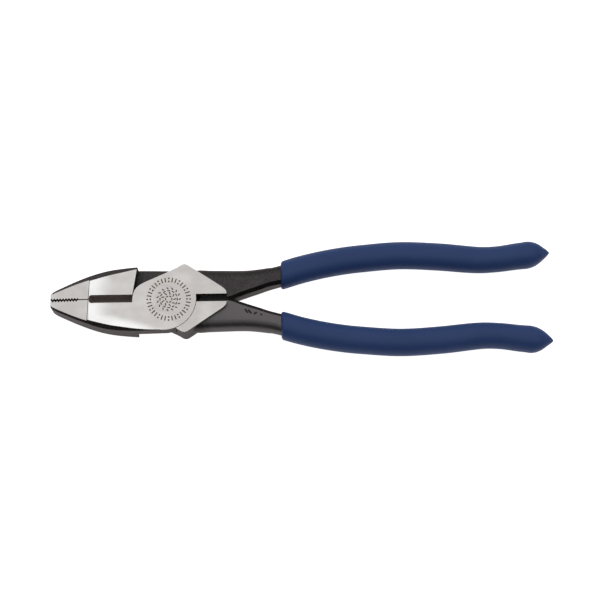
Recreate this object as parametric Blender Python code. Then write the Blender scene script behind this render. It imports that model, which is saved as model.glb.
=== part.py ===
"""Side-cutting lineman pliers, closed and lying on the back of the head.

Two forged halves of one pattern cross at the hub and turn on a flush rivet.  Each carries a
dipped plastic grip.  The nose points to -X, the handles to +X, and the rivet's axis is Z through
the origin.  Shapes are written in millimetres for the half that has the lower jaw and the upper
handle; the other half is the same forging turned half a turn about the tool's long axis.
"""
import math

import bmesh
import bpy
from mathutils import Vector

MM = 0.001

# Head: overall forging
HEAD_THICKNESS = 15.9
MID = HEAD_THICKNESS / 2
TIP_X = -53.8
TIP_THICKNESS = 11.6
TIP_CORNER_X = -53.2
CREASE_X = -35.5
PARTING_GAP = 0.4
# Half-width of the closed jaws' outer contour, from the tip to the hub
JAW_CONTOUR = ((TIP_X, 3.1), (TIP_CORNER_X, 3.8), (-51.5, 4.9), (-47.7, 6.7), (-42.0, 9.25), (-36.3, 11.5),
               (-30.6, 13.4), (-24.9, 14.6), (-19.2, 15.2), (-13.5, 15.5), (-7.0, 15.45), (-0.5, 15.29))
# Width of the forged chamfer between the ground faces and the sides of the jaw
HUB_SIDE_CHAMFER = ((TIP_X, 0.9), (-36.3, 1.2), (-30.6, 2.0), (-13.5, 1.0), (-0.5, 0.3))
RECESS_SIDE_CHAMFER = ((TIP_X, 1.3), (-42.0, 2.4), (-30.6, 3.3), (-13.5, 1.4), (-0.5, 0.3))
CHAMFER_SLOPE = 0.9
JAW_STEPS = 14

# Nose teeth: a zigzag whose ridges on one jaw face the grooves of the other
TOOTH_PITCH = 1.4
TOOTH_COUNT = 9
TOOTH_HEIGHT = 0.6
TEETH_START_X = -53.3

# Cutter slot and its knives
SLOT_START_X = -35.4
SLOT_END_X = -14.8
SLOT_HALF_WIDTH = 1.95
SLOT_CORNER = 1.4
KNIFE_DEPTH = 3.6
KNIFE_LAND = 0.3

# Hub and lap joint
HUB_RADIUS = 15.3
LAP_GAP = 0.3
RECESS_RADIUS = HUB_RADIUS + LAP_GAP
HEEL_OUTER = (-12.8, -14.3)
HEEL_INNER = (-14.8, -2.0)
WING_START_ANGLE = math.radians(67.5)
REAR_SLOT_HALF_WIDTH = 1.85
HUB_END_ANGLE = math.radians(-97)
# Ground face around the hub, from the cutter slot over the top to the wing's tip
HUB_TOP = ((-14.65, 0.7), (-14.25, 2.8), (-13.2, 4.9), (-11.4, 7.1), (1.7, 13.0), (6.8, 15.2), (8.6, 16.3),
           (9.9, 16.55), (11.1, 16.2), (13.5, 14.5), (16.9, 12.3), (28.0, 4.8), (29.5, 3.1),
           (29.7, REAR_SLOT_HALF_WIDTH))

# Rivet
RIVET_RADIUS = 4.5
RIVET_HEAD_RADIUS = 6.2
RIVET_HEAD_DEPTH = 2.4
RIVET_CLEARANCE = 0.15
RIVET_SIDES = 32

# Neck: where its inner and outer walls run, with the corner radius of each wall
NECK_THICKNESS = 11.4
NECK_CORNER = 1.75
NECK_OUTER_CORNER = 4.4
SLOT_CORNER_RADIUS = 0.3
CROTCH_WALL = PARTING_GAP / 2
NECK_WALLS = ((10.0, 3.0, 13.8, SLOT_CORNER_RADIUS), (17.0, REAR_SLOT_HALF_WIDTH, 15.0, SLOT_CORNER_RADIUS),
              (21.0, REAR_SLOT_HALF_WIDTH, 14.75, SLOT_CORNER_RADIUS),
              (29.7, REAR_SLOT_HALF_WIDTH, 14.55, SLOT_CORNER_RADIUS),
              (29.9, CROTCH_WALL, 14.55, SLOT_CORNER_RADIUS), (32.6, CROTCH_WALL, 14.55, 0.9),
              (36.5, 1.45, 14.45, NECK_CORNER), (40.6, 2.85, 14.6, NECK_CORNER),
              (44.6, 4.15, 15.05, NECK_CORNER), (49.0, 5.7, 15.6, NECK_CORNER))

# Handles: the line down the middle of each, and the steel that carries the grip
HANDLE_LINE = ((49.0, 10.55), (54.9, 12.0), (64.4, 14.85), (73.9, 17.1), (83.4, 18.8), (92.9, 19.95),
               (111.9, 21.3), (130.9, 20.4), (149.9, 18.6), (159.4, 18.9), (168.9, 20.15), (184.0, 21.6))
TANG_WIDTH = 9.3
TANG_THICKNESS = 9.6
TANG_CORNER = 3.0
TANG_END_X = 172.0
TANG_STEPS = 13

# Grips
GRIP_START_X = 55.4
GRIP_WIDTH = 12.9
GRIP_THICKNESS = 12.9
GRIP_CORNER = 5.2
RIM_BLEND = 12.0
GRIP_GAP = 0.3
GRIP_TAPER_X = 172.0
GRIP_WAIST = 0.35
GRIP_WAIST_X = 159.0
GRIP_WAIST_LENGTH = 13.0
GRIP_STEPS = 15
# Pointed end of a grip: distance past the taper's start, then what is left of the full size
# on the inner side, on the outer side and in thickness
GRIP_END = ((2.6, 0.94, 0.98, 0.98), (4.8, 0.84, 0.89, 0.92), (7.2, 0.64, 0.69, 0.77), (9.4, 0.40, 0.41, 0.54),
            (11.1, 0.19, 0.19, 0.32), (12.0, 0.07, 0.07, 0.12))

CORNER_SEGMENTS = 3


def value_at(points, x):
    """Height of a broken line of (x, value) points at x."""
    for (x0, v0), (x1, v1) in zip(points, points[1:]):
        if x <= x1:
            return v0 + (v1 - v0) * (x - x0) / (x1 - x0)
    return points[-1][1]


def smooth_at(points, x):
    """Height and slope at x of a smooth curve through (x, value) points."""
    last = len(points) - 1
    index = 0
    while index < last - 1 and x > points[index + 1][0]:
        index += 1

    def slope(i):
        before, after = points[max(i - 1, 0)], points[min(i + 1, last)]
        return (after[1] - before[1]) / (after[0] - before[0])

    (x0, v0), (x1, v1) = points[index], points[index + 1]
    span = x1 - x0
    t = (x - x0) / span
    m0, m1 = slope(index) * span, slope(index + 1) * span
    height = ((2 * t ** 3 - 3 * t ** 2 + 1) * v0 + (t ** 3 - 2 * t ** 2 + t) * m0
              + (3 * t ** 2 - 2 * t ** 3) * v1 + (t ** 3 - t ** 2) * m1)
    rise = ((6 * t ** 2 - 6 * t) * v0 + (3 * t ** 2 - 4 * t + 1) * m0
            + (6 * t - 6 * t ** 2) * v1 + (3 * t ** 2 - 2 * t) * m1)
    return height, rise / span


def arc(radius, start, end, steps):
    """Points on a circle round the origin, from one angle to another."""
    return [(radius * math.cos(start + (end - start) * i / steps),
             radius * math.sin(start + (end - start) * i / steps)) for i in range(steps + 1)]


def make_material(name, color, roughness, metallic):
    material = bpy.data.materials.new(name)
    material.use_nodes = True
    shader = material.node_tree.nodes["Principled BSDF"]
    shader.inputs["Base Color"].default_value = (*color, 1.0)
    shader.inputs["Roughness"].default_value = roughness
    shader.inputs["Metallic"].default_value = metallic
    return material


def loft(name, rings, material=None):
    """Closed body through matching rings of (x, y, z) points, with a face over each end."""
    mesh_data = bmesh.new()
    loops = [[mesh_data.verts.new(Vector(point) * MM) for point in ring] for ring in rings]
    for lower, upper in zip(loops, loops[1:]):
        for i in range(len(lower)):
            j = (i + 1) % len(lower)
            mesh_data.faces.new((lower[i], lower[j], upper[j], upper[i]))
    mesh_data.faces.new(loops[0])
    mesh_data.faces.new(loops[-1])
    bmesh.ops.recalc_face_normals(mesh_data, faces=mesh_data.faces)
    mesh = bpy.data.meshes.new(name)
    mesh_data.to_mesh(mesh)
    mesh_data.free()
    mesh.shade_smooth()
    mesh.set_sharp_from_angle(angle=math.radians(32))
    obj = bpy.data.objects.new(name, mesh)
    bpy.context.collection.objects.link(obj)
    if material:
        mesh.materials.append(material)
    return obj


def prism(name, outline, bottom, top):
    """Upright body over a flat outline."""
    return loft(name, [[(x, y, z) for x, y in outline] for z in (bottom, top)])


def turned(name, profile, material=None):
    """Body of revolution round Z through (radius, z) points."""
    rings = []
    for radius, z in profile:
        circle = arc(radius, 0.0, 2 * math.pi, RIVET_SIDES)[:-1]
        rings.append([(x, y, z) for x, y in circle])
    return loft(name, rings, material)


def combine(target, tool, operation):
    """Join a helper body to a piece, or cut the piece with it."""
    tool.parent = target
    tool.hide_render = True
    tool.display_type = "WIRE"
    modifier = target.modifiers.new(tool.name, "BOOLEAN")
    modifier.operation = operation
    modifier.solver = "EXACT"
    modifier.object = tool


def tooth_stations(first_side):
    """Places and heights of the ridges and grooves along the nose."""
    stations = []
    for i in range(2 * TOOTH_COUNT + 1):
        side = first_side if i % 2 == 0 else -first_side
        stations.append((TEETH_START_X + i * TOOTH_PITCH / 2, (side * TOOTH_HEIGHT - PARTING_GAP) / 2))
    return stations


def jaw_body(name, first_side, material):
    """Lower jaw as cross-sections from the tip to the hub, with its chamfers, taper and teeth."""
    teeth = tooth_stations(first_side)
    flat = -PARTING_GAP / 2
    parting = [(TIP_X, flat)] + teeth + [(teeth[-1][0] + TOOTH_PITCH / 4, flat), (0.0, flat)]
    between = {CREASE_X * i / JAW_STEPS for i in range(1, JAW_STEPS + 1)}
    ends = {TIP_X, TIP_CORNER_X, JAW_CONTOUR[-1][0]}
    rings = []
    for x in sorted(between | ends | {x for x, _ in parting if x < 0}):
        width = smooth_at(JAW_CONTOUR, x)[0]
        inner = value_at(parting, x)
        taper = max(0.0, (CREASE_X - x) / (CREASE_X - TIP_X)) * (HEAD_THICKNESS - TIP_THICKNESS) / 2
        front = value_at(HUB_SIDE_CHAMFER, x)
        back = value_at(RECESS_SIDE_CHAMFER, x)
        top, bottom = HEAD_THICKNESS - taper, taper
        rings.append([(x, inner, bottom), (x, back - width, bottom),
                      (x, -width, bottom + back * CHAMFER_SLOPE),
                      (x, -width, top - front * CHAMFER_SLOPE), (x, front - width, top), (x, inner, top)])
    return loft(name, rings, material)


def hub_outline():
    """Hub disc, upper wing and rear slot's edge, as one outline."""
    slot_angle = math.asin(REAR_SLOT_HALF_WIDTH / HUB_RADIUS)
    disc = arc(HUB_RADIUS, slot_angle, HUB_END_ANGLE, 20)
    return [(-15.6, -3.0), *HUB_TOP, *disc, (-10.0, -9.0)]


def recess_outline():
    """What the other half's hub and jaw sweep: the back layer without this half's jaw and wing."""
    reach = 22.0
    heel_x = HEEL_OUTER[0] + (HEEL_OUTER[0] - HEEL_INNER[0]) * 0.3
    heel_y = HEEL_OUTER[1] + (HEEL_OUTER[1] - HEEL_INNER[1]) * 0.3
    last_angle = math.radians(-62)
    wall = arc(RECESS_RADIUS, WING_START_ANGLE, last_angle, 24)
    corner = (reach * math.cos(WING_START_ANGLE), reach * math.sin(WING_START_ANGLE))
    foot = (reach * math.cos(last_angle), reach * math.sin(last_angle))
    return [(heel_x, heel_y), HEEL_INNER, (HEEL_INNER[0], reach), corner, *wall, foot]


def slot_ring(z, inset, half_width):
    """Outline of the cutter slot at one depth, with round corners at its nose end."""
    start = SLOT_START_X + inset
    corner = min(SLOT_CORNER, half_width * 0.8)
    ring = [(SLOT_END_X, -half_width, z), (SLOT_END_X, half_width, z)]
    for centre_y, first in ((half_width - corner, math.pi / 2), (corner - half_width, math.pi)):
        for i in range(CORNER_SEGMENTS + 1):
            angle = first + i * math.pi / 2 / CORNER_SEGMENTS
            ring.append((start + corner + corner * math.cos(angle), centre_y + corner * math.sin(angle), z))
    return ring


def slot_cutter(name, side):
    """Half of the cutter slot: straight walls, then the knife's slope to its edge at mid-thickness."""
    depths = ((MID + 1.0, 0.0, SLOT_HALF_WIDTH), (MID - KNIFE_DEPTH, 0.0, SLOT_HALF_WIDTH),
              (KNIFE_LAND / 2, 1.2, PARTING_GAP / 4))
    return loft(name, [slot_ring(MID + side * depth, inset, half) for depth, inset, half in depths])


def section_ring(inner, outer, thickness, inner_corner, outer_corner):
    """Rounded rectangle across a handle, from its inner wall to its outer wall."""
    inner, outer = Vector((*inner, 0.0)), Vector((*outer, 0.0))
    width = (outer - inner).length
    along = (outer - inner) / width
    half = thickness / 2
    corners = ((inner_corner, inner_corner - half, inner_corner, math.pi),
               (width - outer_corner, outer_corner - half, outer_corner, 1.5 * math.pi),
               (width - outer_corner, half - outer_corner, outer_corner, 0.0),
               (inner_corner, half - inner_corner, inner_corner, 0.5 * math.pi))
    ring = []
    for u, v, radius, first in corners:
        for i in range(CORNER_SEGMENTS + 1):
            angle = first + i * math.pi / 2 / CORNER_SEGMENTS
            point = inner + along * (u + radius * math.cos(angle))
            ring.append((point.x, point.y, MID + v + radius * math.sin(angle)))
    return ring


def handle_ring(x, inner_half, outer_half, thickness, corner):
    """Section of a handle at x: square to the tool's axis at the grip's rim, then square to the handle."""
    y, slope = smooth_at(HANDLE_LINE, x)
    lean = min(1.0, max(0.0, (x - GRIP_START_X) / RIM_BLEND))
    across = Vector((-slope * lean, 1.0)).normalized()
    stretch = 1.0 / across.dot(Vector((-slope, 1.0)).normalized())
    centre = Vector((x, y))
    inner = centre - across * inner_half * stretch
    outer = centre + across * outer_half * stretch
    return section_ring(inner, outer, thickness, corner, corner)


def handle_body(name):
    """Neck and the tang inside the grip."""
    rings = []
    for x, inner, outer, inner_corner in NECK_WALLS:
        rings.append(section_ring((x, inner), (x, outer), NECK_THICKNESS, inner_corner, NECK_OUTER_CORNER))
    rings.append(handle_ring(52.0, TANG_WIDTH / 2, TANG_WIDTH / 2, 10.5, TANG_CORNER))
    for i in range(TANG_STEPS + 1):
        x = GRIP_START_X + (TANG_END_X - GRIP_START_X) * i / TANG_STEPS
        rings.append(handle_ring(x, TANG_WIDTH / 2, TANG_WIDTH / 2, TANG_THICKNESS, TANG_CORNER))
    return loft(name, rings)


def grip_body(name, material):
    """Dipped sleeve: its bore from the closed end to the rim, then its outside to the pointed end."""
    bore_half = TANG_WIDTH / 2 + GRIP_GAP
    bore_thickness = TANG_THICKNESS + 2 * GRIP_GAP
    rings = []
    bore_end = TANG_END_X + GRIP_GAP
    for i in range(GRIP_STEPS + 1):
        x = bore_end + (GRIP_START_X - bore_end) * i / GRIP_STEPS
        rings.append(handle_ring(x, bore_half, bore_half, bore_thickness, TANG_CORNER))
    half = GRIP_WIDTH / 2
    rings.append(handle_ring(GRIP_START_X, half - 0.5, half - 0.5, GRIP_THICKNESS - 1.0, GRIP_CORNER - 0.8))
    for i in range(GRIP_STEPS + 1):
        x = GRIP_START_X + 0.6 + (GRIP_TAPER_X - GRIP_START_X - 0.6) * i / GRIP_STEPS
        waisted = half - GRIP_WAIST * math.exp(-((x - GRIP_WAIST_X) / GRIP_WAIST_LENGTH) ** 2)
        rings.append(handle_ring(x, waisted, waisted, GRIP_THICKNESS, GRIP_CORNER))
    for distance, inner, outer, depth in GRIP_END:
        corner = GRIP_CORNER * min(inner, outer, depth)
        thickness = GRIP_THICKNESS * depth
        rings.append(handle_ring(GRIP_TAPER_X + distance, half * inner, half * outer, thickness, corner))
    return loft(name, rings, material)


def rivet_profile(clearance, reach):
    """Half-section of the rivet from bottom to top, grown for the bore it sits in."""
    head = RIVET_HEAD_RADIUS + clearance
    shaft = RIVET_RADIUS + clearance
    top = HEAD_THICKNESS
    profile = [(head, 0.0), (shaft, RIVET_HEAD_DEPTH), (shaft, top - RIVET_HEAD_DEPTH), (head, top)]
    if reach:
        profile = [(head, -reach)] + profile + [(head, top + reach)]
    return profile


def pliers_half(name, first_side, material):
    """One forging, with the lower jaw and the upper handle."""
    half = jaw_body(name, first_side, material)
    combine(half, prism(name + "_hub", hub_outline(), 0.0, HEAD_THICKNESS), "UNION")
    combine(half, handle_body(name + "_handle"), "UNION")
    combine(half, prism(name + "_recess", recess_outline(), -1.0, MID + LAP_GAP / 2), "DIFFERENCE")
    for side in (-1, 1):
        combine(half, slot_cutter("%s_slot_%s" % (name, "front" if side > 0 else "back"), side), "DIFFERENCE")
    combine(half, turned(name + "_bore", rivet_profile(RIVET_CLEARANCE, 1.0)), "DIFFERENCE")
    return half


def turn_over(obj):
    """Half a turn about the tool's long axis at mid-thickness."""
    obj.rotation_euler.x = math.pi
    obj.location.z = HEAD_THICKNESS * MM


def main():
    for obj in list(bpy.data.objects):
        bpy.data.objects.remove(obj, do_unlink=True)

    steel = make_material("forged_steel", (0.42, 0.42, 0.40), 0.35, 1.0)
    rivet_steel = make_material("rivet_steel", (0.55, 0.55, 0.53), 0.3, 1.0)
    vinyl = make_material("navy_vinyl", (0.026, 0.044, 0.112), 0.42, 0.0)

    pliers_half("lower_jaw_half", 1, steel)
    upper = pliers_half("upper_jaw_half", -1, steel)
    turn_over(upper)
    turned("pivot_rivet", rivet_profile(0.0, 0.0), rivet_steel)
    grip_body("upper_grip", vinyl)
    lower_grip = grip_body("lower_grip", vinyl)
    turn_over(lower_grip)


main()
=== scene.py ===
"""Looks of the lineman pliers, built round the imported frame.

Each CAD piece is rebuilt as a fine mesh in the same place: two forged halves with ground faces,
knives, teeth and stamped marks, the flush rivet, and two dipped grips.  Shapes are written in
millimetres for the half with the lower jaw and the upper handle; the other half is the same
forging turned half a turn about the tool's long axis.
"""

import math

import bmesh
import bpy
from mathutils import Matrix, Vector


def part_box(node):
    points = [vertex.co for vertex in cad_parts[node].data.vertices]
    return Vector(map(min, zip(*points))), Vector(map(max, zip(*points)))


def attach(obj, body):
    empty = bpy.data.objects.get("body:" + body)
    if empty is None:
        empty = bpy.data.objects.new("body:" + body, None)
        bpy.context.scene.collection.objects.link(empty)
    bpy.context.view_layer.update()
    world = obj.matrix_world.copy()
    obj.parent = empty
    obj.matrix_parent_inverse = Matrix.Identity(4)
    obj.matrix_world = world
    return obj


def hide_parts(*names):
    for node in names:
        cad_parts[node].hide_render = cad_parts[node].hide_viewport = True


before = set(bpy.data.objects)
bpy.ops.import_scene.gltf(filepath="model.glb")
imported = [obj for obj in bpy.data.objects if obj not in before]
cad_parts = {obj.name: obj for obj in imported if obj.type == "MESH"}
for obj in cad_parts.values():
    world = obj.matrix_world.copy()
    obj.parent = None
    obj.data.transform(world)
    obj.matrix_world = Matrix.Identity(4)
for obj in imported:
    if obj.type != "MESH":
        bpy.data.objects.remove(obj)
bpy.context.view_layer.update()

MM = 0.001
LOWER_BODY = "lower_jaw_body"
UPPER_BODY = "upper_jaw_body"

# How far cutters run past the surface they cut
CUT_MARGIN = 1.0

# How much shorter the steel and the sleeve are drawn than the frame's
TANG_END_MARGIN = 0.4
GRIP_END_MARGIN = 0.06

# What the frame says
HEAD_LOW, HEAD_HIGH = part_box("lower_jaw_half")
THICKNESS = HEAD_HIGH.z / MM
MID = THICKNESS / 2
TIP_X = HEAD_LOW.x / MM
TANG_END_X = HEAD_HIGH.x / MM - TANG_END_MARGIN
RIVET_HEAD_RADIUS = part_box("pivot_rivet")[1].x / MM
GRIP_LOW, GRIP_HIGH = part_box("upper_grip")
GRIP_THICKNESS = (GRIP_HIGH.z - GRIP_LOW.z) / MM
GRIP_END_X = GRIP_HIGH.x / MM - GRIP_END_MARGIN

# Jaws: half-width and chamfers along X
PARTING_GAP = 0.5
JAW_CONTOUR = ((TIP_X, 3.1), (TIP_X + 0.6, 3.8), (-51.5, 4.9), (-47.7, 6.7), (-42.0, 9.25),
               (-36.3, 11.5), (-30.6, 13.4), (-24.9, 14.6), (-19.2, 15.2), (-13.5, 15.5),
               (-7.0, 15.45), (-0.5, 15.29))
HUB_SIDE_CHAMFER = ((TIP_X, 3.3), (-47.0, 2.6), (-36.3, 1.75), (-30.6, 2.0), (-21.0, 1.65),
                    (-13.5, 1.0), (-7.0, 0.4), (-0.5, 0.12))
RECESS_SIDE_CHAMFER = ((TIP_X, 3.5), (-47.0, 3.3), (-36.3, 3.1), (-30.6, 3.3), (-21.0, 2.6),
                       (-13.5, 1.4), (-7.0, 0.4), (-0.5, 0.12))
CHAMFER_SLOPE = 0.9
LEAST_FACE_WIDTH = 0.5
JAW_STEP = 0.8
TIP_STEP = 0.25

# Nose: its ground faces are set below the head's and taper to the tip
CREASE_X = -35.5
CREASE_LEAN = 0.05
CREASE_DEPTH = 0.45
CREASE_WIDTH = 0.32
NOSE_DEPTH = 2.15
NOSE_CUT_HEIGHT = 2.0
NOSE_CUT_REACH = 20.0

TOOTH_PITCH = 1.4
TOOTH_COUNT = 9
TOOTH_HEIGHT = 0.8
TOOTH_GAP = 1.2
# How far from the middle the sides of the teeth and of the parting reach
TOOTH_REACH = 1.0
TEETH_START_X = TIP_X + 0.5

# Cutter slot
SLOT_START_X = -35.35
SLOT_END_X = -14.8
SLOT_HALF_WIDTH = 1.95
SLOT_CORNER = 1.2
SLOT_CORNER_STEPS = 6
SLOT_CORNER_SHARE = 0.8
KNIFE_DEPTH = 3.6
KNIFE_LAND = 0.24
KNIFE_INSET = 1.2
KNIFE_HALF_GAP = PARTING_GAP / 4

# Hub and lap
HUB_RADIUS = 15.3
LAP_GAP = 0.24
RECESS_RADIUS = HUB_RADIUS + LAP_GAP
HEEL_OUTER = (-12.8, -14.3)
HEEL_INNER = (-14.8, -2.0)
HEEL_OVERRUN = 0.3
RECESS_REACH = 22.0
RECESS_END_ANGLE = math.radians(-62)
WING_START_ANGLE = math.radians(67.5)
REAR_SLOT_HALF_WIDTH = 1.85
HUB_END_ANGLE = math.radians(-97)
# Thin dark sheet across the joint at the near end of the rear slot, put there for shade: it keeps light
# out of the joint
SHADE_SHEET = ((14.8, -1.7), (16.8, -1.7), (16.8, 2.4), (14.8, 2.4))
SHADE_SHEET_THICKNESS = 0.1
HUB_LEFT = ((-15.6, -3.0), (-14.75, 0.0), (-14.5, 2.0), (-13.9, 3.8), (-12.9, 5.3),
            (-11.4, 6.55), (-9.0, 7.9), (0.0, 11.8))
WING_BUMP = ((6.2, 14.85), (7.6, 15.7), (8.7, 16.35), (9.9, 16.55), (11.1, 16.2), (12.6, 15.2))
WING_TIP = ((26.9, 5.65), (28.3, 4.6), (29.2, 3.7), (29.6, 2.8), (29.7, REAR_SLOT_HALF_WIDTH))
# A point inside the jaw, where the hub's outline closes
HUB_JAW_POINT = (-10.0, -9.0)

RIVET_RADIUS = 4.5
RIVET_HEAD_DEPTH = 2.4
RIVET_CLEARANCE = 0.04
ROUND_STEPS = 72

# Neck and handles
NECK_THICKNESS = 11.4
NECK_CORNER = 1.7
NECK_OUTER_CORNER = 4.6
CROTCH_WALL = PARTING_GAP / 2
CROTCH_X = 32.6
NECK_CHAMFER_START_X = 29.0
NECK_CHAMFER_GROWTH = 8.0
SHARP_CORNER = 0.3
NECK_INNER = ((8.0, 3.2), (15.0, REAR_SLOT_HALF_WIDTH), (29.7, REAR_SLOT_HALF_WIDTH),
              (29.9, CROTCH_WALL), (CROTCH_X, CROTCH_WALL), (36.5, 1.45), (40.6, 2.85),
              (44.6, 4.15), (49.0, 5.7))
NECK_OUTER = ((8.0, 13.4), (13.0, 14.6), (17.0, 15.0), (21.0, 14.75), (29.9, 14.55),
              (36.5, 14.45), (40.6, 14.6), (44.6, 15.0), (49.0, 15.6))
# The middle of the handle, from the neck's end to the tip of the grip
HANDLE_LINE = ((49.0, 10.55), (54.9, 12.0), (64.4, 14.85), (73.9, 17.1), (83.4, 18.8),
               (92.9, 19.95), (111.9, 21.3), (130.9, 20.4), (149.9, 18.6), (159.4, 18.9),
               (168.9, 20.15), (184.0, 21.6))
HANDLE_ROOT_X = NECK_INNER[0][0]
LAP_END_X = 29.0
LAP_STEP = 1.5
NECK_START_X = 30.5
NECK_STEP = 1.2
NECK_END_X = HANDLE_LINE[0][0]
HANDLE_CORNER_STEPS = 5
TANG_WIDTH = 9.3
TANG_THICKNESS = 9.6
TANG_CORNER = 4.2
TANG_START_X = 51.0
TANG_STEP = 6.0

GRIP_START_X = 55.4
# The tang is down to its own size just inside the grip's rim
TANG_SHOULDER_X = GRIP_START_X - 0.5
TANG_INSIDE_X = GRIP_START_X + 1.0
GRIP_WIDTH = 12.8
GRIP_CORNER = 5.6
RIM_BLEND = 12.0
GRIP_TAPER_LENGTH = 12.0
GRIP_TAPER_X = GRIP_END_X - GRIP_TAPER_LENGTH
GRIP_TAPER_STEP = 0.06
GRIP_STEP = 2.0
GRIP_CORNER_STEPS = 8
GRIP_GAP = 0.15
GRIP_END_GAP = 0.2
RIM_RADIUS = 1.4
RIM_STEPS = 5
GRIP_WAIST = 0.35
GRIP_WAIST_X = 159.0
GRIP_WAIST_LENGTH = 13.0
# What is left of the grip's size along its pointed end, from 0 at the taper's start to 1 at the tip
GRIP_END_INNER = ((0.0, 1.0), (0.22, 0.94), (0.4, 0.84), (0.6, 0.64), (0.78, 0.40),
                  (0.925, 0.19), (1.0, 0.06))
GRIP_END_OUTER = ((0.0, 1.0), (0.22, 0.98), (0.4, 0.89), (0.6, 0.69), (0.78, 0.41),
                  (0.925, 0.19), (1.0, 0.06))
GRIP_END_DEPTH = ((0.0, 1.0), (0.22, 0.98), (0.4, 0.92), (0.6, 0.77), (0.78, 0.54),
                  (0.925, 0.31), (1.0, 0.11))

# Edges: how much is taken off, and the angles in degrees that count as flat, hard and sharp
EDGE_BREAK = 0.14
EDGE_SEGMENTS = 2
MERGE_DISTANCE = 0.002
FLAT_ANGLE = 0.4
HARD_ANGLE = 28
SHARP_ANGLE_STEEL = 40
SHARP_ANGLE_RIVET = 30
SHARP_ANGLE_GRIP = 50

# Finishes of the steel, by number, and how level, steep or deep a face is for each
# One finish is black: painted shade in the teeth's parting, the rear slot and at the heel, and the dark
# floor of the neck's marks
GROUND_HEAD, GROUND_NOSE, FORGING, STAMPED, SHADE_AND_MARK_BLACK, KNIFE = range(6)
LEVEL_HEAD = 0.98
LEVEL_NOSE = 0.95
LEVEL_MARK = 0.999
STEEP = 0.3
NEAR = 0.05
SURFACE_DEPTH = 0.01
REAR_SLOT_START_X = 14.0
NECK_MARKS_FROM_X = 36.0

# Marks
MARK_DEPTH = 0.16
MARK_CENTRE = (2.4, -0.6)
MARK_RADIUS = 9.4
MARK_COUNT = 36
MARK_TALL = 2.2
MARK_SHORT = 0.75
DOTS_EVERY = 3
MARK_STROKE = 0.56
# Strokes on the neck of the half with the upper jaw: place, turn, length
NECK_STROKES = (((39.0, 6.3), 0.9, 2.4), ((40.6, 6.6), 0.9, 2.4),
                ((43.2, 7.4), -0.5, 1.7), ((46.0, 8.1), 0.3, 0.9))
NECK_STROKE = 0.85
# Rosette of strokes: ring radius, strokes in the ring, how far each is turned from radial, length
ROSETTE = ((1.5, 6, math.pi / 2, 1.1), (2.9, 9, 0.5, 1.4), (4.1, 12, math.pi / 2, 1.3),
           (5.3, 15, 0.7, 1.2))

# Textures: features to the millimetre along X, Y and Z, and relief in millimetres
HEAD_GRAIN = (0.06, 2.6, 0.5)
NOSE_GRAIN = (2.4, 0.08, 0.5)
STEEL_CLOUD = (0.09, 0.13, 0.1)
STEEL_RELIEF = 0.012
OXIDE_SCALE = (1.2, 1.2, 1.2)
OXIDE_CLOUD = (0.16, 0.2, 0.2)
OXIDE_RELIEF = 0.06
PLAIN_GRAIN = (3.0, 3.0, 3.0)
PLAIN_RELIEF = 0.02
VINYL_CLOUD = (0.05, 0.08, 0.08)
VINYL_SKIN = (1.6, 1.6, 1.6)
VINYL_RELIEF = 0.02
# The span of the noise that is carried over to a tone or a roughness
NOISE_MIDDLE = (0.35, 0.65)
NOISE_WIDE = (0.3, 0.7)
STEEL_ROUGHNESS = (0.24, 0.40)
OXIDE_ROUGHNESS = (0.34, 0.50)
VINYL_ROUGHNESS = (0.42, 0.54)
SHADE_AND_MARK_GLOSS = 0.12
VINYL_GLOSS = 0.25

# Painted highlight: where the ground face is painted brightest, next to the crease and along the jaw's
# edge
GLINT_X = (CREASE_X + 2.0, CREASE_X + 12.0)
GLINT_START_X = (CREASE_X - 0.4, CREASE_X + 0.4)
GLINT_EDGE_SLOPE = 0.30
GLINT_EDGE_Y = (-18.0, -14.0)
GLINT_STRENGTH = 0.75
# Painted dimming: where the ground face is painted darker from the jaw to the hub, as a painted reflection
# gradient, and how bright each end stays
HUB_DIMMING_X = (-14.0, -2.0)
HUB_DIMMING = (0.12, 0.03)
# Painted light: where the lower neck is painted lighter, for the light its front face catches
LIT_NECK_Y = (-2.0, 2.0)
LIT_NECK_X = (14.0, 26.0)
LIT_NECK_STRENGTH = 0.75

# Colours, linear
# The ground steel's two tones; random cloud and grain, the painted highlight and the painted dimming
# towards the hub move it between them
STEEL_DULL = (0.555, 0.530, 0.512)
STEEL_BRIGHT = (0.95, 0.95, 0.94)
OXIDE_DARK = (0.038, 0.033, 0.034)
OXIDE_GREY = (0.145, 0.133, 0.136)
OXIDE_EDGE = (0.90, 0.84, 0.84)
DIRT_DARK = (0.135, 0.078, 0.042)
DIRT_LIGHT = (0.29, 0.20, 0.13)
# Black painted shade for the teeth's parting, the rear slot and the heel walls, also the dark floor of the
# neck's marks
SHADE_AND_MARK_DARK = (0.026, 0.022, 0.021)
SHADE_AND_MARK_LIGHT = (0.044, 0.038, 0.037)
KNIFE_DARK = (0.56, 0.505, 0.49)
KNIFE_LIGHT = (0.70, 0.65, 0.63)
VINYL_DEEP = (0.029, 0.065, 0.203)
VINYL_LIGHT = (0.034, 0.074, 0.224)
WHITE = (1.0, 1.0, 1.0)
PAPER = (0.88, 0.88, 0.88)

# Camera: sensor, lens and target in millimetres, distances in metres, angles in degrees
CAMERA_SENSOR = 36.0
CAMERA_LENS = 107.0
CAMERA_TARGET = (64.4, 0.1)
CAMERA_DISTANCE = 0.85
CAMERA_CLIP_END = 50.0
CAMERA_TILT = 14.0
CAMERA_ROLL = -0.80

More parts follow.
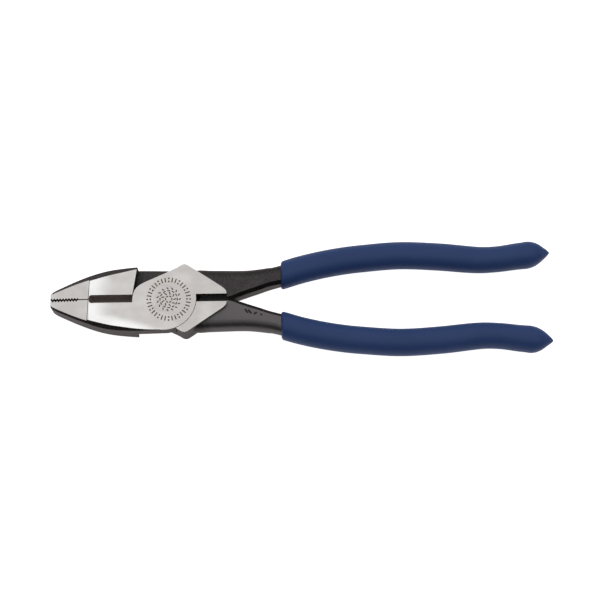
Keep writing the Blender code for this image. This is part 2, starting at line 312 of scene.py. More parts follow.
# Studio, in metres and watts
FLOOR_HALF = 2.5
FLOOR_DROP = 0.0003
FLOOR_GLOW = 0.38
FLOOR_GLOW_SEEN = 0.95
SKY_TILT = 0.5
SKY_HEIGHTS = (0.2, 0.98)
SKY_LOW = 0.05
SKY_HIGH = 0.62
SOFTBOX_PLACE = (0.06, 0.35, 1.1)
SOFTBOX_SIZE = (1.6, 0.9)
SOFTBOX_POWER = 2.0
SOFTBOX_AIM = (0.06, 0.0, 0.0)


def value_at(points, x):
    """Height of a broken line of (x, value) points at x."""
    for (x0, v0), (x1, v1) in zip(points, points[1:]):
        if x <= x1:
            return v0 + (v1 - v0) * (x - x0) / (x1 - x0)
    return points[-1][1]


def smooth_at(points, x):
    """Height and slope at x of a smooth curve through (x, value) points."""
    last = len(points) - 1
    index = 0
    while index < last - 1 and x > points[index + 1][0]:
        index += 1

    def slope(i):
        before, after = points[max(i - 1, 0)], points[min(i + 1, last)]
        return (after[1] - before[1]) / (after[0] - before[0])

    (x0, v0), (x1, v1) = points[index], points[index + 1]
    span = x1 - x0
    t = (x - x0) / span
    m0, m1 = slope(index) * span, slope(index + 1) * span
    height = ((2 * t ** 3 - 3 * t ** 2 + 1) * v0 + (t ** 3 - 2 * t ** 2 + t) * m0
              + (3 * t ** 2 - 2 * t ** 3) * v1 + (t ** 3 - t ** 2) * m1)
    rise = ((6 * t ** 2 - 6 * t) * v0 + (3 * t ** 2 - 4 * t + 1) * m0
            + (6 * t - 6 * t ** 2) * v1 + (3 * t ** 2 - 2 * t) * m1)
    return height, rise / span


def arc(radius, start, end, steps):
    """Points on a circle round the origin, from one angle to another."""
    return [(radius * math.cos(start + (end - start) * i / steps),
             radius * math.sin(start + (end - start) * i / steps)) for i in range(steps + 1)]


def spread(start, end, step):
    """Evenly spaced places from start to end, about one step apart."""
    count = max(1, round((end - start) / step))
    return [start + (end - start) * i / count for i in range(count + 1)]


def loft(name, rings):
    """Closed body through matching rings of (x, y, z) points, with a face over each end."""
    mesh_data = bmesh.new()
    loops = [[mesh_data.verts.new(Vector(point) * MM) for point in ring] for ring in rings]
    for lower, upper in zip(loops, loops[1:]):
        for i in range(len(lower)):
            j = (i + 1) % len(lower)
            mesh_data.faces.new((lower[i], lower[j], upper[j], upper[i]))
    mesh_data.faces.new(loops[0])
    mesh_data.faces.new(loops[-1])
    bmesh.ops.recalc_face_normals(mesh_data, faces=mesh_data.faces)
    mesh = bpy.data.meshes.new(name)
    mesh_data.to_mesh(mesh)
    mesh_data.free()
    obj = bpy.data.objects.new(name, mesh)
    bpy.context.collection.objects.link(obj)
    return obj


def prism(name, outline, bottom, top):
    """Upright body over a flat outline."""
    return loft(name, [[(x, y, z) for x, y in outline] for z in (bottom, top)])


def turned(name, profile, steps=ROUND_STEPS):
    """Body of revolution round Z through (radius, z) points."""
    return loft(name, [[(x, y, z) for x, y in arc(radius, 0.0, 2 * math.pi, steps)[:-1]]
                       for radius, z in profile])


def combine(target, tool, operation):
    """Join a helper body to a piece, or cut the piece with it, and drop the helper."""
    modifier = target.modifiers.new("join", "BOOLEAN")
    modifier.operation = operation
    modifier.solver = "EXACT"
    modifier.object = tool
    bpy.context.view_layer.update()
    graph = bpy.context.evaluated_depsgraph_get()
    mesh = bpy.data.meshes.new_from_object(target.evaluated_get(graph))
    target.modifiers.clear()
    target.data = mesh
    bpy.data.objects.remove(tool, do_unlink=True)


def parting_line(first_side):
    """Ridges, grooves and flat of the parting face, along the jaw.

    A first side of 1 starts with a ridge, and -1 with a groove.
    """
    flat = -PARTING_GAP / 2
    line = [(TIP_X, flat)]
    for i in range(2 * TOOTH_COUNT + 1):
        side = first_side if i % 2 == 0 else -first_side
        line.append((TEETH_START_X + i * TOOTH_PITCH / 2, (side * TOOTH_HEIGHT - TOOTH_GAP) / 2))
    line.append((line[-1][0] + TOOTH_PITCH / 4, flat))
    line.append((0.0, flat))
    return line


def jaw_body(name, first_side):
    """Lower jaw as cross-sections from the tip to the hub, with its forged chamfers and teeth."""
    parting = parting_line(first_side)
    places = set(spread(parting[-2][0], JAW_CONTOUR[-1][0], JAW_STEP)) | {x for x, _ in parting[:-1]}
    rings = []
    for x in sorted(places | {TIP_X + TIP_STEP}):
        width = smooth_at(JAW_CONTOUR, x)[0]
        inner = value_at(parting, x)
        front = smooth_at(HUB_SIDE_CHAMFER, x)[0]
        back = smooth_at(RECESS_SIDE_CHAMFER, x)[0]
        rings.append([(x, inner, 0.0),
                      (x, min(back - width, inner - LEAST_FACE_WIDTH), 0.0),
                      (x, -width, back * CHAMFER_SLOPE),
                      (x, -width, THICKNESS - front * CHAMFER_SLOPE),
                      (x, min(front - width, inner - LEAST_FACE_WIDTH), THICKNESS),
                      (x, inner, THICKNESS)])
    return loft(name, rings)


def nose_cutter(name, side):
    """Wedge over one face of the nose: a short step at the crease, then the taper to the tip."""
    face = MID + side * MID
    top = face + side * NOSE_CUT_HEIGHT
    rings = []
    for y in (-NOSE_CUT_REACH, NOSE_CUT_REACH):
        crease = CREASE_X + side * CREASE_LEAN * y
        outline = ((crease, top), (crease, face), (crease - CREASE_WIDTH, face - side * CREASE_DEPTH),
                   (TIP_X - CUT_MARGIN, face - side * NOSE_DEPTH), (TIP_X - CUT_MARGIN, top))
        rings.append([(x, y, z) for x, z in outline])
    return loft(name, rings)


def hub_outline():
    """Hub disc, upper wing and rear slot's edge, as one outline."""
    slot_angle = math.asin(REAR_SLOT_HALF_WIDTH / HUB_RADIUS)
    disc = arc(HUB_RADIUS, slot_angle, HUB_END_ANGLE, ROUND_STEPS // 2)
    return [*HUB_LEFT, *WING_BUMP, *WING_TIP, *disc, HUB_JAW_POINT]


def recess_outline():
    """What the other half's hub and jaw sweep: the back layer without this half's jaw and wing."""
    heel_x = HEEL_OUTER[0] + (HEEL_OUTER[0] - HEEL_INNER[0]) * HEEL_OVERRUN
    heel_y = HEEL_OUTER[1] + (HEEL_OUTER[1] - HEEL_INNER[1]) * HEEL_OVERRUN
    wall = arc(RECESS_RADIUS, WING_START_ANGLE, RECESS_END_ANGLE, ROUND_STEPS // 2)
    corner, foot = arc(RECESS_REACH, WING_START_ANGLE, RECESS_END_ANGLE, 1)
    return [(heel_x, heel_y), HEEL_INNER, (HEEL_INNER[0], RECESS_REACH), corner, *wall, foot]


def slot_ring(z, inset, half_width):
    """Outline of the cutter slot at one depth, with round corners at its nose end."""
    start = SLOT_START_X + inset
    corner = min(SLOT_CORNER, half_width * SLOT_CORNER_SHARE)
    ring = [(SLOT_END_X, -half_width, z), (SLOT_END_X, half_width, z)]
    for centre_y, first in ((half_width - corner, math.pi / 2), (corner - half_width, math.pi)):
        for i in range(SLOT_CORNER_STEPS + 1):
            angle = first + i * math.pi / 2 / SLOT_CORNER_STEPS
            x = start + corner + corner * math.cos(angle)
            ring.append((x, centre_y + corner * math.sin(angle), z))
    return ring


def slot_cutter(name, side):
    """Half of the cutter slot: straight walls, then the knife's slope to its edge at mid-thickness."""
    depths = ((MID + CUT_MARGIN, 0.0, SLOT_HALF_WIDTH), (MID - KNIFE_DEPTH, 0.0, SLOT_HALF_WIDTH),
              (KNIFE_LAND / 2, KNIFE_INSET, KNIFE_HALF_GAP))
    return loft(name, [slot_ring(MID + side * depth, inset, half) for depth, inset, half in depths])


def section_ring(inner, outer, thickness, inner_corner, outer_corner, steps, inner_flat=False):
    """Rectangle across a handle, from its inner wall to its outer wall, with its corners rounded.

    The inner corners may be flat chamfers instead.
    """
    inner, outer = Vector((*inner, 0.0)), Vector((*outer, 0.0))
    width = (outer - inner).length
    along = (outer - inner) / width
    half = thickness / 2
    corners = ((inner_corner, inner_corner - half, inner_corner, math.pi),
               (width - outer_corner, outer_corner - half, outer_corner, 1.5 * math.pi),
               (width - outer_corner, half - outer_corner, outer_corner, 0.0),
               (inner_corner, half - inner_corner, inner_corner, 0.5 * math.pi))
    ring = []
    for u, v, radius, first in corners:
        start = Vector((math.cos(first), math.sin(first)))
        end = Vector((-start.y, start.x))
        for i in range(steps + 1):
            turn = i * math.pi / 2 / steps
            corner = start * math.cos(turn) + end * math.sin(turn)
            if inner_flat and u == inner_corner:
                corner = start.lerp(end, i / steps)
            point = inner + along * (u + radius * corner.x)
            ring.append((point.x, point.y, MID + v + radius * corner.y))
    return ring


def handle_ring(x, inner_half, outer_half, thickness, corner, steps, inner_corner=None):
    """Section of a handle at x, with rounded corners or with flat chamfers inside.

    It is square to the tool's axis at the grip's rim and square to the handle past it.
    """
    y, slope = smooth_at(HANDLE_LINE, x)
    lean = min(1.0, max(0.0, (x - GRIP_START_X) / RIM_BLEND))
    across = Vector((-slope * lean, 1.0)).normalized()
    stretch = 1.0 / across.dot(Vector((-slope, 1.0)).normalized())
    centre = Vector((x, y))
    inner = centre - across * inner_half * stretch
    outer = centre + across * outer_half * stretch
    if inner_corner:
        return section_ring(inner, outer, thickness, inner_corner, corner, steps, inner_flat=True)
    return section_ring(inner, outer, thickness, corner, corner, steps)


def handle_body(name):
    """Neck and the tang inside the grip."""
    steps = HANDLE_CORNER_STEPS
    rings = []
    lap = spread(HANDLE_ROOT_X, LAP_END_X, LAP_STEP)
    neck = spread(NECK_START_X, NECK_END_X, NECK_STEP)
    for x in sorted({x for x, _ in NECK_INNER} | set(lap) | set(neck)):
        share = min(1.0, max(0.0, (x - NECK_CHAMFER_START_X) / NECK_CHAMFER_GROWTH))
        inner_corner = SHARP_CORNER + (NECK_CORNER - SHARP_CORNER) * share * (2 - share)
        inner = value_at(NECK_INNER, x) if x < CROTCH_X else smooth_at(NECK_INNER, x)[0]
        rings.append(section_ring((x, inner), (x, smooth_at(NECK_OUTER, x)[0]), NECK_THICKNESS,
                                  inner_corner, NECK_OUTER_CORNER, steps, inner_flat=True))
    half = TANG_WIDTH / 2
    for x in spread(TANG_START_X, TANG_SHOULDER_X, LAP_STEP):
        share = (x - NECK_END_X) / (GRIP_START_X - NECK_END_X)
        thickness = NECK_THICKNESS + (TANG_THICKNESS - NECK_THICKNESS) * share
        corner = NECK_OUTER_CORNER + (TANG_CORNER - NECK_OUTER_CORNER) * share
        rings.append(handle_ring(x, half, half, thickness, corner, steps, NECK_CORNER))
    for x in spread(TANG_INSIDE_X, TANG_END_X, TANG_STEP):
        rings.append(handle_ring(x, half, half, TANG_THICKNESS, TANG_CORNER, steps, NECK_CORNER))
    return loft(name, rings)


def rivet_profile(clearance, reach):
    """Half-section of the rivet from bottom to top, grown for the bore it sits in."""
    head = RIVET_HEAD_RADIUS + clearance
    shaft = RIVET_RADIUS + clearance
    profile = [(head, 0.0), (shaft, RIVET_HEAD_DEPTH), (shaft, THICKNESS - RIVET_HEAD_DEPTH),
               (head, THICKNESS)]
    if reach:
        profile = [(head, -reach)] + profile + [(head, THICKNESS + reach)]
    return profile


def pliers_half(name, first_side):
    """One forging, with the lower jaw and the upper handle; its first tooth is a ridge or a groove."""
    half = jaw_body(name, first_side)
    combine(half, prism(name + "_hub", hub_outline(), 0.0, THICKNESS), "UNION")
    for side in (-1, 1):
        combine(half, nose_cutter(name + "_nose", side), "DIFFERENCE")
    combine(half, handle_body(name + "_handle"), "UNION")
    recess = prism(name + "_recess", recess_outline(), -CUT_MARGIN, MID + LAP_GAP / 2)
    combine(half, recess, "DIFFERENCE")
    for side in (-1, 1):
        combine(half, slot_cutter(name + "_slot", side), "DIFFERENCE")
    bore = turned(name + "_bore", rivet_profile(RIVET_CLEARANCE, CUT_MARGIN))
    combine(half, bore, "DIFFERENCE")
    return half


def clean(obj):
    """Merge what the cuts left in flat faces."""
    mesh_data = bmesh.new()
    mesh_data.from_mesh(obj.data)
    bmesh.ops.remove_doubles(mesh_data, verts=mesh_data.verts, dist=MERGE_DISTANCE * MM)
    bmesh.ops.dissolve_limit(mesh_data, angle_limit=math.radians(FLAT_ANGLE),
                             verts=mesh_data.verts, edges=mesh_data.edges)
    mesh_data.to_mesh(obj.data)
    mesh_data.free()


def smooth_by_angle(obj, degrees):
    """Smooth shading, with the edges past an angle kept sharp."""
    obj.data.shade_smooth()
    obj.data.set_sharp_from_angle(angle=math.radians(degrees))


def break_edges(obj):
    """Take every hard edge off except the marks', as a belt or a tumble does."""
    mesh_data = bmesh.new()
    mesh_data.from_mesh(obj.data)
    weight = mesh_data.edges.layers.float.new("bevel_weight_edge")
    for edge in mesh_data.edges:
        hard = edge.is_manifold and edge.calc_face_angle() > math.radians(HARD_ANGLE)
        stamped = any(face.material_index == STAMPED for face in edge.link_faces)
        edge[weight] = 1.0 if hard and not stamped else 0.0
    mesh_data.to_mesh(obj.data)
    mesh_data.free()
    modifier = obj.modifiers.new("broken_edges", "BEVEL")
    modifier.width = EDGE_BREAK * MM
    modifier.segments = EDGE_SEGMENTS
    modifier.limit_method = "WEIGHT"
    modifier.use_clamp_overlap = True
    modifier.harden_normals = True
    smooth_by_angle(obj, SHARP_ANGLE_STEEL)


def turn_over(obj):
    """Half a turn about the tool's long axis at mid-thickness, kept in the mesh."""
    lift = Matrix.Translation((0.0, 0.0, THICKNESS * MM))
    obj.data.transform(lift @ Matrix.Rotation(math.pi, 4, "X"))


def grip_waist(x):
    """How far each side of the grip is drawn in at x: a slight waist before the flared end."""
    return GRIP_WAIST * math.exp(-((x - GRIP_WAIST_X) / GRIP_WAIST_LENGTH) ** 2)


def grip_bore_rings():
    """The sleeve's bore round the tang, from its closed end to the rim."""
    half = TANG_WIDTH / 2 + GRIP_GAP
    thickness = TANG_THICKNESS + 2 * GRIP_GAP
    return [handle_ring(-x, half, half, thickness, TANG_CORNER, GRIP_CORNER_STEPS, NECK_CORNER)
            for x in spread(-TANG_END_X - GRIP_END_GAP, -GRIP_START_X, TANG_STEP)]


def grip_rim_rings():
    """The rolled rim, from its flat face round to the outside."""
    rings = []
    for i in range(1, RIM_STEPS + 1):
        angle = i * math.pi / 2 / RIM_STEPS
        shrink = RIM_RADIUS * (1 - math.sin(angle))
        half = GRIP_WIDTH / 2 - shrink
        rings.append(handle_ring(GRIP_START_X + RIM_RADIUS * (1 - math.cos(angle)), half, half,
                                 GRIP_THICKNESS - 2 * shrink, GRIP_CORNER - shrink, GRIP_CORNER_STEPS))
    return rings


def grip_outside_rings():
    """The outside along the handle, then the flared end's taper to its point."""
    rings = []
    for x in spread(GRIP_START_X + RIM_RADIUS + GRIP_STEP, GRIP_TAPER_X, GRIP_STEP):
        half = GRIP_WIDTH / 2 - grip_waist(x)
        rings.append(handle_ring(x, half, half, GRIP_THICKNESS, GRIP_CORNER, GRIP_CORNER_STEPS))
    half = GRIP_WIDTH / 2
    for share in spread(GRIP_TAPER_STEP, 1.0, GRIP_TAPER_STEP):
        inner = smooth_at(GRIP_END_INNER, share)[0]
        outer = smooth_at(GRIP_END_OUTER, share)[0]
        depth = smooth_at(GRIP_END_DEPTH, share)[0]
        corner = GRIP_CORNER * min(inner, outer, depth)
        rings.append(handle_ring(GRIP_TAPER_X + share * GRIP_TAPER_LENGTH, half * inner, half * outer,
                                 GRIP_THICKNESS * depth, corner, GRIP_CORNER_STEPS))
    return rings


def grip_body(name):
    """Dipped sleeve, closed at the far end."""
    return loft(name, [*grip_bore_rings(), *grip_rim_rings(), *grip_outside_rings()])


# Materials

def new_material(name, base, roughness, metallic):
    """A material's node tree and its Principled shader, with the values that are the same all over."""
    material = bpy.data.materials.new(name)
    material.use_nodes = True
    shader = material.node_tree.nodes["Principled BSDF"]
    shader.inputs["Base Color"].default_value = (*base, 1.0)
    shader.inputs["Roughness"].default_value = roughness
    shader.inputs["Metallic"].default_value = metallic
    return material, material.node_tree, shader


def position(tree):
    """Where a point is in the row frame, in millimetres."""
    coordinates = tree.nodes.new("ShaderNodeTexCoord")
    scale = tree.nodes.new("ShaderNodeVectorMath")
    scale.operation = "SCALE"
    scale.inputs["Scale"].default_value = 1 / MM
    tree.links.new(coordinates.outputs["Object"], scale.inputs[0])
    return scale.outputs[0]


def axis_value(tree, axis):
    """One coordinate of a point, in millimetres."""
    split = tree.nodes.new("ShaderNodeSeparateXYZ")
    tree.links.new(position(tree), split.inputs[0])
    return split.outputs[axis]


def noise(tree, per_mm, detail=3.0, contrast=0.55):
    """Noise with so many features to the millimetre along X, Y and Z."""
    stretch = tree.nodes.new("ShaderNodeVectorMath")
    stretch.operation = "MULTIPLY"
    stretch.inputs[1].default_value = per_mm
    tree.links.new(position(tree), stretch.inputs[0])
    texture = tree.nodes.new("ShaderNodeTexNoise")
    texture.inputs["Scale"].default_value = 1.0
    texture.inputs["Detail"].default_value = detail
    texture.inputs["Roughness"].default_value = contrast
    tree.links.new(stretch.outputs[0], texture.inputs["Vector"])
    return texture.outputs[0]


def remap(tree, value, source, result, smooth=False):
    """A value carried from one range to another and held at the ends."""
    node = tree.nodes.new("ShaderNodeMapRange")
    node.interpolation_type = "SMOOTHSTEP" if smooth else "LINEAR"
    tree.links.new(value, node.inputs["Value"])
    sockets = ("From Min", "From Max", "To Min", "To Max")
    for socket, number in zip(sockets, (*source, *result)):
        node.inputs[socket].default_value = number
    return node.outputs[0]


def combine_values(tree, operation, first, second):
    """Two values, or a value and a number, joined by one operation."""
    node = tree.nodes.new("ShaderNodeMath")
    node.operation = operation
    for socket, source in zip(node.inputs, (first, second)):
        if isinstance(source, float):
            socket.default_value = source
        else:
            tree.links.new(source, socket)
    return node.outputs[0]


def mix_colors(tree, factor, low, high):
    """A colour between two others; each is a colour or a socket.

    The node's colour sockets share their names with its other ones, so they go by number.
    """
    node = tree.nodes.new("ShaderNodeMix")
    node.data_type = "RGBA"
    tree.links.new(factor, node.inputs["Factor"])
    for socket, source in ((node.inputs[6], low), (node.inputs[7], high)):
        if isinstance(source, tuple):
            socket.default_value = (*source, 1.0)
        else:
            tree.links.new(source, socket)
    return node.outputs[2]


def add_bump(tree, shader, height, depth_mm, strength=1.0):
    """Surface relief of a known depth."""
    node = tree.nodes.new("ShaderNodeBump")
    node.inputs["Strength"].default_value = strength
    node.inputs["Distance"].default_value = depth_mm * MM
    tree.links.new(height, node.inputs["Height"])
    tree.links.new(node.outputs[0], shader.inputs["Normal"])


def add(tree, first, second):
    """Sum of two values."""
    return combine_values(tree, "ADD", first, second)


def multiply(tree, first, second):
    """Product of two values."""
    return combine_values(tree, "MULTIPLY", first, second)


def glint(tree):
    """Painted highlight on the ground face by place: brightest past the crease and along the jaw's edge.
    """
    x, y = axis_value(tree, 0), axis_value(tree, 1)
    near_crease = remap(tree, x, GLINT_X, (1.0, 0.0), smooth=True)
    past_crease = remap(tree, x, GLINT_START_X, (0.0, 1.0))
    along_edge = remap(tree, add(tree, y, multiply(tree, x, GLINT_EDGE_SLOPE)), GLINT_EDGE_Y,
                       (1.0, 0.0), smooth=True)
    bright = multiply(tree, combine_values(tree, "MAXIMUM", near_crease, along_edge), past_crease)
    return multiply(tree, bright, GLINT_STRENGTH)


def ground_steel(name, grain):
    """Bright steel off the belt, with fine lines across the grain direction, a painted highlight past the
    crease and along the jaw's edge, and painted dimming towards the hub.
    """
    material, tree, shader = new_material(name, STEEL_DULL, 0.3, 1.0)
    lines = noise(tree, grain, 4.0, 0.7)
    cloud = noise(tree, STEEL_CLOUD, 2.0)
    # The tone is the painted highlight plus random cloud and grain
    shade = add(tree, glint(tree), remap(tree, cloud, NOISE_MIDDLE, (-0.08, 0.16)))
    shade = add(tree, shade, remap(tree, lines, NOISE_MIDDLE, (-0.07, 0.07)))
    # Painted dimming of the ground face from the jaw towards the hub
    shade = add(tree, shade, remap(tree, axis_value(tree, 0), HUB_DIMMING_X, HUB_DIMMING, smooth=True))
    tree.links.new(mix_colors(tree, shade, STEEL_DULL, STEEL_BRIGHT), shader.inputs["Base Color"])
    tree.links.new(remap(tree, lines, NOISE_WIDE, STEEL_ROUGHNESS), shader.inputs["Roughness"])
    add_bump(tree, shader, lines, STEEL_RELIEF, 0.6)
    return material


def black_forging(name):
    """Oxide-blacked forging: fine scale, cloudy tone, and painted light that makes the lower neck lighter.
    """
    material, tree, shader = new_material(name, OXIDE_DARK, 0.5, 1.0)
    shader.inputs["Specular Tint"].default_value = (*OXIDE_EDGE, 1.0)
    scale = noise(tree, OXIDE_SCALE, 6.0, 0.7)
    cloud = noise(tree, OXIDE_CLOUD, 3.0)
    # Painted light: the lower neck is painted lighter
    lower = remap(tree, axis_value(tree, 1), LIT_NECK_Y, (1.0, 0.0), smooth=True)
    neck = remap(tree, axis_value(tree, 0), LIT_NECK_X, (0.0, 1.0), smooth=True)
    shade = add(tree, remap(tree, scale, NOISE_MIDDLE, (-0.04, 0.32)),
                remap(tree, cloud, NOISE_MIDDLE, (0.0, 0.10)))
    shade = add(tree, shade, multiply(tree, multiply(tree, lower, neck), LIT_NECK_STRENGTH))
    tree.links.new(mix_colors(tree, shade, OXIDE_DARK, OXIDE_GREY), shader.inputs["Base Color"])
    tree.links.new(remap(tree, scale, NOISE_WIDE, OXIDE_ROUGHNESS), shader.inputs["Roughness"])
    add_bump(tree, shader, scale, OXIDE_RELIEF, 0.6)
    return material


def plain_steel(name, dark, light, roughness, metallic, gloss=0.5):
    """Unworked surface between two tones, with a fine grain."""
    material, tree, shader = new_material(name, dark, roughness, metallic)
    shader.inputs["Specular IOR Level"].default_value = gloss
    grain = noise(tree, PLAIN_GRAIN, 4.0)
    tree.links.new(mix_colors(tree, remap(tree, grain, NOISE_MIDDLE, (0.0, 1.0)), dark, light),
                   shader.inputs["Base Color"])
    add_bump(tree, shader, grain, PLAIN_RELIEF, 0.4)
    return material


def dipped_vinyl(name):
    """Navy plastisol: soft gloss, faint cloudiness, a very fine skin."""
    material, tree, shader = new_material(name, VINYL_DEEP, 0.4, 0.0)
    shader.inputs["Specular IOR Level"].default_value = VINYL_GLOSS
    cloud = noise(tree, VINYL_CLOUD, 2.0)
    skin = noise(tree, VINYL_SKIN, 4.0, 0.6)
    tone = remap(tree, cloud, NOISE_WIDE, (0.0, 1.0))
    tree.links.new(mix_colors(tree, tone, VINYL_DEEP, VINYL_LIGHT), shader.inputs["Base Color"])
    tree.links.new(remap(tree, skin, NOISE_WIDE, VINYL_ROUGHNESS), shader.inputs["Roughness"])
    add_bump(tree, shader, skin, VINYL_RELIEF, 0.35)
    return material


def steel_finishes():
    """Every finish of the steel, in the order of the finishes' numbers."""
    return [ground_steel("ground_head", HEAD_GRAIN), ground_steel("ground_nose", NOSE_GRAIN),
            black_forging("black_forging"),
            plain_steel("stamped_dirt", DIRT_DARK, DIRT_LIGHT, 0.6, 0.3),
            # Painted shade for the parting, the rear slot and the heel, and the neck marks' dark floor
            plain_steel("painted_shade_and_mark_black", SHADE_AND_MARK_DARK, SHADE_AND_MARK_LIGHT, 0.7, 0.0, gloss=SHADE_AND_MARK_GLOSS),
            plain_steel("knife", KNIFE_DARK, KNIFE_LIGHT, 0.45, 1.0)]


def assign_steel(obj, materials):
    """Give each face of a forging its finish by where it lies and which way it faces."""
    obj.data.materials.clear()
    for material in materials:
        obj.data.materials.append(material)
    for face in obj.data.polygons:
        face.material_index = steel_of(face.center / MM, face.normal)


def steel_of(centre, normal):
    """Number of the finish for a face at a place, by how deep it lies and which way it faces."""
    depth = min(centre.z, THICKNESS - centre.z)
    level = abs(normal.z)
    neck_depth = (THICKNESS - NECK_THICKNESS) / 2
    in_slot = SLOT_START_X - 2 * NEAR < centre.x < SLOT_END_X + 2 * NEAR
    in_rear_slot = REAR_SLOT_START_X < centre.x < WING_TIP[-1][0]
    at_heel = HEEL_INNER[0] - 4 * NEAR < centre.x < HEEL_OUTER[0] + 4 * NEAR
    if level > LEVEL_HEAD and depth < SURFACE_DEPTH:
        return GROUND_HEAD
    if in_slot and abs(centre.y) < SLOT_HALF_WIDTH + NEAR:
        return KNIFE
    if centre.x < CREASE_X and level > LEVEL_NOSE and depth < NOSE_DEPTH + 2 * NEAR:
        return GROUND_NOSE
    # The parting between the teeth is painted black: painted shade in the gap between the jaws
    if centre.x < SLOT_START_X and abs(centre.y) < TOOTH_REACH and level < STEEP:
        return SHADE_AND_MARK_BLACK
    if MARK_DEPTH * 0.5 < depth < MARK_DEPTH * 1.5 and centre.xy.length < HUB_RADIUS:
        return STAMPED
    # The rear slot is painted black: painted shade
    if in_rear_slot and abs(centre.y) < REAR_SLOT_HALF_WIDTH + NEAR:
        return SHADE_AND_MARK_BLACK
    # The floor of the neck's marks is dark, the marks' own colour
    if NECK_MARKS_FROM_X < centre.x < NECK_END_X and level > LEVEL_MARK and depth > neck_depth + NEAR:
        return SHADE_AND_MARK_BLACK
    # The heel's walls are painted black: painted shade in the recess
    if at_heel and level < STEEP and abs(centre.y) < -HEEL_OUTER[1]:
        return SHADE_AND_MARK_BLACK
    return FORGING


# Marks: plain ticks and strokes where the real tool is stamped

def add_box(mesh_data, centre, angle, length, width, low, high):
    """A small upright box, turned by an angle, in a mesh under construction."""
    place = Matrix.Translation(Vector((*centre, (low + high) / 2)) * MM)
    turn = Matrix.Rotation(angle, 4, "Z")
    size = Matrix.Diagonal((length * MM, width * MM, (high - low) * MM, 1.0))
    bmesh.ops.create_cube(mesh_data, size=1.0, matrix=place @ turn @ size)


def object_from(name, mesh_data):
    """A new object in the scene that holds a mesh under construction."""
    mesh = bpy.data.meshes.new(name)
    mesh_data.to_mesh(mesh)
    mesh_data.free()
    obj = bpy.data.objects.new(name, mesh)
    bpy.context.collection.objects.link(obj)
    return obj


def hub_marks(name):
    """A ring of radial ticks and pairs of dots round a rosette of short strokes, as one cutter."""
    mesh_data = bmesh.new()
    low, high = THICKNESS - MARK_DEPTH, THICKNESS + CUT_MARGIN
    middle = Vector(MARK_CENTRE)
    for radius, count, turn, length in ROSETTE:
        for i in range(count):
            angle = 2 * math.pi * i / count
            direction = Vector((math.cos(angle), math.sin(angle)))
            centre = middle + direction * radius
            add_box(mesh_data, centre, angle + turn, length, MARK_STROKE, low, high)
    for i in range(MARK_COUNT):
        angle = 2 * math.pi * i / MARK_COUNT
        direction = Vector((math.cos(angle), math.sin(angle)))
        if i % DOTS_EVERY:
            centre = middle + direction * MARK_RADIUS
            add_box(mesh_data, centre, angle, MARK_TALL, MARK_STROKE, low, high)
        else:
            for offset in (-MARK_TALL / 3, MARK_TALL / 3):
                centre = middle + direction * (MARK_RADIUS + offset)
                add_box(mesh_data, centre, angle, MARK_SHORT, MARK_SHORT, low, high)
    return object_from(name, mesh_data)


def neck_marks(name):
    """Short strokes on the neck of the half with the upper jaw, as one cutter."""
    mesh_data = bmesh.new()
    bottom = MID - NECK_THICKNESS / 2
    for centre, angle, length in NECK_STROKES:
        add_box(mesh_data, centre, angle, length, NECK_STROKE, bottom - CUT_MARGIN, bottom + MARK_DEPTH)
    return object_from(name, mesh_data)


# Pieces

def lower_jaw_forging():
    """The half with the lower jaw, with the dark sheet that shades the joint and the hub's marks."""
    half = pliers_half("lower_jaw_forging", 1)
    # A dark sheet put into the joint for shade
    shade_sheet = prism("shade_sheet", SHADE_SHEET, MID - SHADE_SHEET_THICKNESS / 2, MID + SHADE_SHEET_THICKNESS / 2)
    combine(half, shade_sheet, "UNION")
    clean(half)
    combine(half, hub_marks("hub_marks"), "DIFFERENCE")
    return half


def upper_jaw_forging():
    """The half with the upper jaw, with the neck's marks, turned over into its place."""
    half = pliers_half("upper_jaw_forging", -1)
    clean(half)
    combine(half, neck_marks("neck_marks"), "DIFFERENCE")
    turn_over(half)
    return half


def make_steel():
    """Both forgings and the rivet."""
    finishes = steel_finishes()
    for piece, body, node in ((lower_jaw_forging(), LOWER_BODY, "lower_jaw_half"),
                              (upper_jaw_forging(), UPPER_BODY, "upper_jaw_half")):
        assign_steel(piece, finishes)
        break_edges(piece)
        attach(piece, body)
        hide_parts(node)
    rivet = turned("flush_rivet", rivet_profile(0.0, 0.0))
    combine(rivet, hub_marks("rivet_marks"), "DIFFERENCE")
    assign_steel(rivet, finishes)
    smooth_by_angle(rivet, SHARP_ANGLE_RIVET)
    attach(rivet, LOWER_BODY)
    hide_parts("pivot_rivet")


def make_grips():
    """Both dipped sleeves; the lower one is the same sleeve turned over."""
    vinyl = dipped_vinyl("navy_vinyl")
    for name, node, body, turned_over in (("upper_grip_dip", "upper_grip", LOWER_BODY, False),
                                          ("lower_grip_dip", "lower_grip", UPPER_BODY, True)):
        grip = grip_body(name)
        if turned_over:
            turn_over(grip)
        grip.data.materials.append(vinyl)
        smooth_by_angle(grip, SHARP_ANGLE_GRIP)
        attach(grip, body)
        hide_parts(node)


# Studio

def make_camera():
    """Long lens from overhead, leaning towards the lower jaw's side."""
    data = bpy.data.cameras.new("camera")
    data.sensor_width = CAMERA_SENSOR
    data.lens = CAMERA_LENS
    data.clip_end = CAMERA_CLIP_END
    camera = bpy.data.objects.new("camera", data)
    bpy.context.collection.objects.link(camera)
    target = Vector((*CAMERA_TARGET, MID)) * MM
    tilt = Matrix.Rotation(math.radians(CAMERA_TILT), 3, "X")
    turn = tilt @ Matrix.Rotation(math.radians(CAMERA_ROLL), 3, "Z")
    camera.location = target + turn @ Vector((0.0, 0.0, CAMERA_DISTANCE))
    camera.rotation_euler = turn.to_euler()
    bpy.context.scene.camera = camera


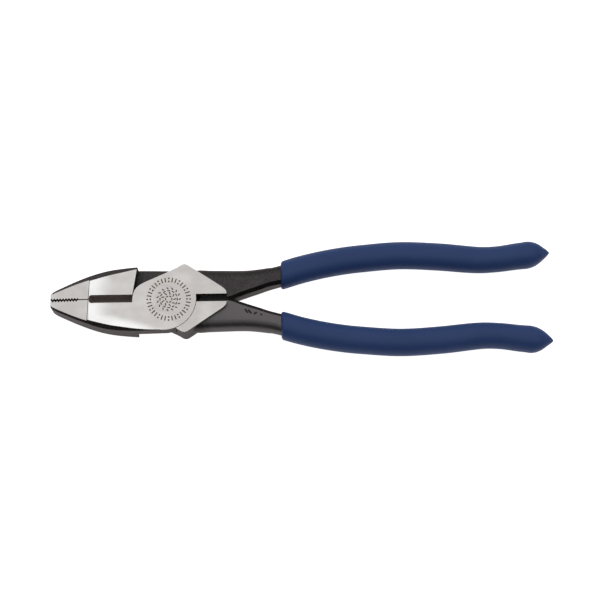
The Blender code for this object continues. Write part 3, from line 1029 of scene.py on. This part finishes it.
def make_floor():
    """Pale paper under the tool, lit from within so that it stays shadowless."""
    mesh_data = bmesh.new()
    bmesh.ops.create_grid(mesh_data, x_segments=1, y_segments=1, size=FLOOR_HALF)
    floor = object_from("floor", mesh_data)
    floor.location.z = -FLOOR_DROP
    material, tree, shader = new_material("floor_paper", PAPER, 0.9, 0.0)
    shader.inputs["Emission Color"].default_value = (*WHITE, 1.0)
    path = tree.nodes.new("ShaderNodeLightPath")
    glow = remap(tree, path.outputs["Is Camera Ray"], (0.0, 1.0), (FLOOR_GLOW, FLOOR_GLOW_SEEN))
    tree.links.new(glow, shader.inputs["Emission Strength"])
    floor.data.materials.append(material)


def make_world():
    """Soft light from overhead and behind that falls off to the front; the room is seen as plain white."""
    world = bpy.data.worlds.new("studio")
    bpy.context.scene.world = world
    world.use_nodes = True
    tree = world.node_tree
    coordinates = tree.nodes.new("ShaderNodeTexCoord")
    split = tree.nodes.new("ShaderNodeSeparateXYZ")
    tree.links.new(coordinates.outputs["Generated"], split.inputs[0])
    tilted = add(tree, split.outputs[2], multiply(tree, split.outputs[1], SKY_TILT))
    height = remap(tree, tilted, SKY_HEIGHTS, (0.0, 1.0), smooth=True)
    sky = mix_colors(tree, height, (SKY_LOW,) * 3, (SKY_HIGH,) * 3)
    path = tree.nodes.new("ShaderNodeLightPath")
    room = mix_colors(tree, path.outputs["Is Camera Ray"], sky, WHITE)
    tree.links.new(room, tree.nodes["Background"].inputs[0])


def make_softbox():
    """One wide soft light above and behind."""
    data = bpy.data.lights.new("softbox", "AREA")
    data.shape = "RECTANGLE"
    data.size, data.size_y = SOFTBOX_SIZE
    data.energy = SOFTBOX_POWER
    light = bpy.data.objects.new("softbox", data)
    bpy.context.collection.objects.link(light)
    light.location = SOFTBOX_PLACE
    backwards = Vector(SOFTBOX_PLACE) - Vector(SOFTBOX_AIM)
    light.rotation_euler = backwards.to_track_quat("Z", "Y").to_euler()


def main():
    make_camera()
    make_steel()
    make_grips()
    make_floor()
    make_world()
    make_softbox()
    bpy.context.scene.view_settings.view_transform = "Standard"


main()
